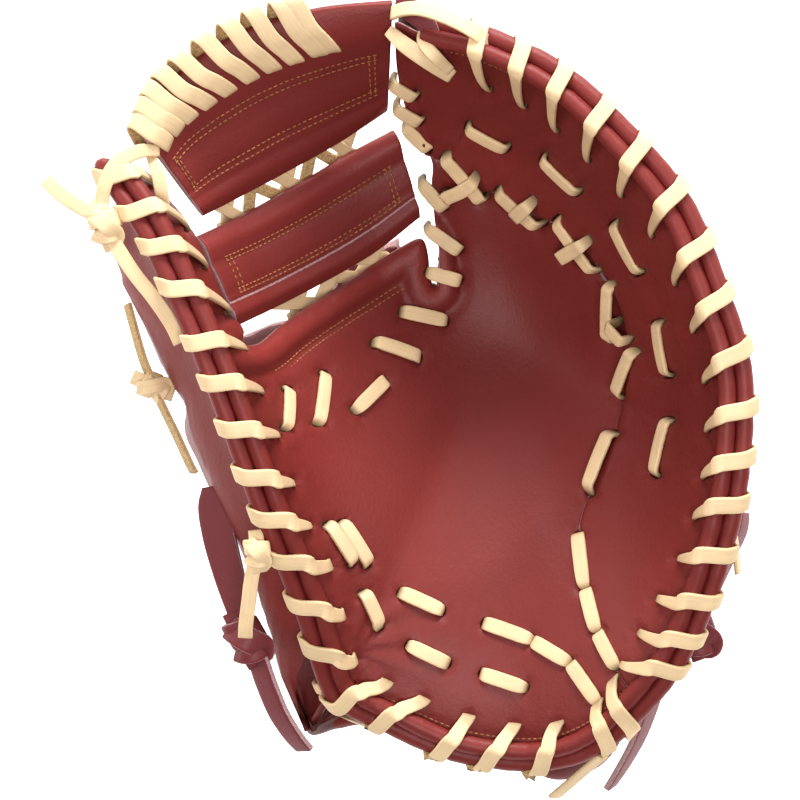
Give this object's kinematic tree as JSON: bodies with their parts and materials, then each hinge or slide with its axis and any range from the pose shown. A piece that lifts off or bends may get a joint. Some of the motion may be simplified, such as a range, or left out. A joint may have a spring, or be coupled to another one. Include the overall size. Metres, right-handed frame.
{
  "type": "first baseman mitt",
  "caption": "Long curved leather catching mitt with a deep pocket, a laced bar web and rawhide lacing all round its rolled rim.",
  "frame": {"origin": "on the flattened patch of the back that the mitt rests on, under the deepest point of the pocket", "axes": "+X from the thumb to the little finger, +Y from the wrist to the web, +Z out of the pocket, up as the mitt lies on its back"},
  "size_m": [0.2557, 0.304, 0.1225],
  "materials": {
    "palm_leather": "satin, fine grain",
    "back_leather": "satin, fine grain",
    "rim_leather": "satin, pulled tight",
    "web_leather": "satin, stitched",
    "lace_rawhide": "matt, cream",
    "thong_leather": "satin with pale cut edges"
  },
  "bodies": {
    "root": {"pocket_leather": "palm_leather", "finger_leather": "palm_leather", "thumb_back": "back_leather", "finger_back": "back_leather", "wrist_strap": "back_leather", "palm_roll": "rim_leather", "back_roll": "rim_leather", "web_top_bar": "web_leather", "web_middle_bar": "web_leather", "palm_top_bar": "web_leather", "thumb_rim_lace": "lace_rawhide", "heel_rim_lace": "lace_rawhide", "finger_rim_lace": "lace_rawhide", "web_top_lace": "lace_rawhide", "web_upper_lace": "lace_rawhide", "web_lower_lace": "lace_rawhide", "web_side_lace": "lace_rawhide", "seam_lace": "lace_rawhide", "seam_lower_lace": "lace_rawhide", "heel_chain_lace": "lace_rawhide", "thumb_tip_knot": "lace_rawhide", "thumb_side_knot": "lace_rawhide", "thumb_heel_knot": "lace_rawhide", "thumb_thong": "thong_leather", "finger_thong": "thong_leather", "wrist_thong": "thong_leather"}
  },
  "joints": []
}
